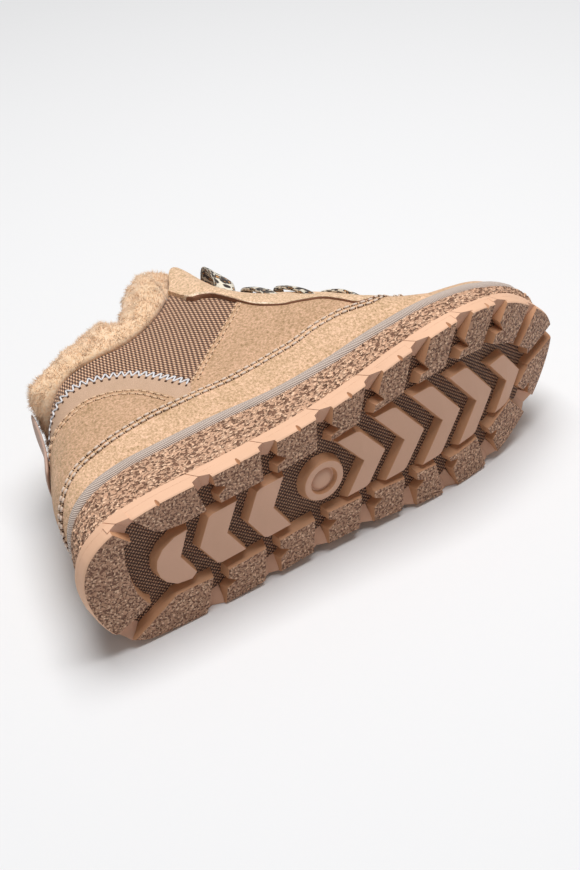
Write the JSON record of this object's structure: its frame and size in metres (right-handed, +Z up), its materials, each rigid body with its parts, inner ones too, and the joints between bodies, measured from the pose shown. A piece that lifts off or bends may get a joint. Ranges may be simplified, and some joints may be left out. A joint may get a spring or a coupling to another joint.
{
  "type": "sneaker",
  "caption": "Right winter sneaker lying on its side: lugged rubber outsole, pebbled midsole, suede and mesh upper, flat laces, fur-lined collar.",
  "frame": {"origin": "centre of the bounding box in X and Y, at the surface that the shoe lies on", "axes": "+X from the heel towards the toe, +Z up from the surface, with the tread facing -Y and the collar facing +Y; the shoe lies on its medial (inner) side"},
  "size_m": [0.2552, 0.1694, 0.09],
  "materials": {
    "outsole": "moulded rubber, pebbled lugs and smooth chevrons",
    "midsole": "foam with a worm-like pebbled grain",
    "piping": "fine diagonal twill",
    "insole": "fleece-topped foam",
    "upper": "coarse woven mesh outside, fleece inside",
    "vamp": "napped suede with stitched seams",
    "heel_counter": "napped suede with stitched seams",
    "collar_strip": "smooth leather with a zigzag stitch",
    "quarter_lateral": "napped suede with stitched seams",
    "quarter_medial": "napped suede with stitched seams",
    "lace_facing": "napped suede with a raised cut edge",
    "heel_tab": "woven webbing",
    "tongue": "napped suede over padding",
    "tongue_fleece": "deep honey-coloured fleece",
    "lace_bar_1": "flat woven lace with a leopard-spot print",
    "lace_bar_2": "flat woven lace with a leopard-spot print",
    "lace_bar_3": "flat woven lace with a leopard-spot print",
    "lace_bar_4": "flat woven lace with a leopard-spot print",
    "fur_collar": "deep honey-coloured fleece"
  },
  "bodies": {
    "root": {"outsole": "outsole", "midsole": "midsole", "piping": "piping", "insole": "insole", "upper": "upper", "vamp": "vamp", "heel_counter": "heel_counter", "collar_strip": "collar_strip", "quarter_lateral": "quarter_lateral", "quarter_medial": "quarter_medial", "lace_facing": "lace_facing", "heel_tab": "heel_tab", "tongue": "tongue", "tongue_fleece": "tongue_fleece", "lace_bar_1": "lace_bar_1", "lace_bar_2": "lace_bar_2", "lace_bar_3": "lace_bar_3", "lace_bar_4": "lace_bar_4", "fur_collar": "fur_collar"}
  },
  "joints": []
}
